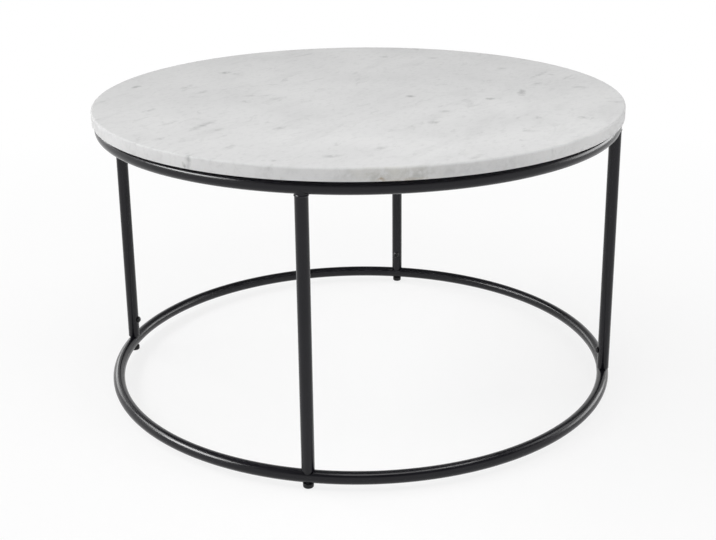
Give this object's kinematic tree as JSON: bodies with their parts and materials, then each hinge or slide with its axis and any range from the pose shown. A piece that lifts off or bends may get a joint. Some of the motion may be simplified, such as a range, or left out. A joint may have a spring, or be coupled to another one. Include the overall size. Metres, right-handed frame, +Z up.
{
  "type": "round cocktail table",
  "caption": "Low round table: a pale veined marble disc on a slim black frame of bent tube rings and straight tube legs, with screw-in levelling feet.",
  "frame": {"origin": "on the floor, under the middle of the top, with the levelling feet screwed fully in", "axes": "+Z up; one leg on each of +X (right), +Y (rear), -X (left) and -Y (front)"},
  "size_m": [0.7999, 0.8, 0.45],
  "materials": {
    "white_marble": "honed",
    "black_steel": "satin",
    "black_screw": "satin",
    "bare_steel": "satin",
    "black_nylon": "matte",
    "black_rubber": "matte",
    "brass": "satin"
  },
  "bodies": {
    "table": {"marble_top": "white_marble", "upper_ring": "black_steel", "lower_ring": "black_steel", "leg_front": "black_steel", "leg_right": "black_steel", "leg_rear": "black_steel", "leg_left": "black_steel", "spigot_front": "black_steel", "spigot_right": "black_steel", "spigot_rear": "black_steel", "spigot_left": "black_steel", "leg_screw_front": "black_screw", "leg_screw_right": "black_screw", "leg_screw_rear": "black_screw", "leg_screw_left": "black_screw", "foot_bush_front": "black_steel", "foot_bush_right": "black_steel", "foot_bush_rear": "black_steel", "foot_bush_left": "black_steel", "top_tab_front": "black_steel", "top_tab_right": "black_steel", "top_tab_rear": "black_steel", "top_tab_left": "black_steel", "top_pad_front": "black_rubber", "top_pad_right": "black_rubber", "top_pad_rear": "black_rubber", "top_pad_left": "black_rubber", "top_insert_front": "brass", "top_insert_right": "brass", "top_insert_rear": "brass", "top_insert_left": "brass", "top_screw_front": "black_screw", "top_screw_right": "black_screw", "top_screw_rear": "black_screw", "top_screw_left": "black_screw"},
    "foot_front": {"foot_cap_front": "black_nylon", "foot_stud_front": "bare_steel"},
    "foot_right": {"foot_cap_right": "black_nylon", "foot_stud_right": "bare_steel"},
    "foot_rear": {"foot_cap_rear": "black_nylon", "foot_stud_rear": "bare_steel"},
    "foot_left": {"foot_cap_left": "black_nylon", "foot_stud_left": "bare_steel"}
  },
  "joints": [
    {"name": "foot_front_levelling", "type": "slide", "parent": "table", "child": "foot_front", "axis": [0, 0, -1], "range_m": [0, 0.006]},
    {"name": "foot_right_levelling", "type": "slide", "parent": "table", "child": "foot_right", "axis": [0, 0, -1], "range_m": [0, 0.006]},
    {"name": "foot_rear_levelling", "type": "slide", "parent": "table", "child": "foot_rear", "axis": [0, 0, -1], "range_m": [0, 0.006]},
    {"name": "foot_left_levelling", "type": "slide", "parent": "table", "child": "foot_left", "axis": [0, 0, -1], "range_m": [0, 0.006]}
  ]
}
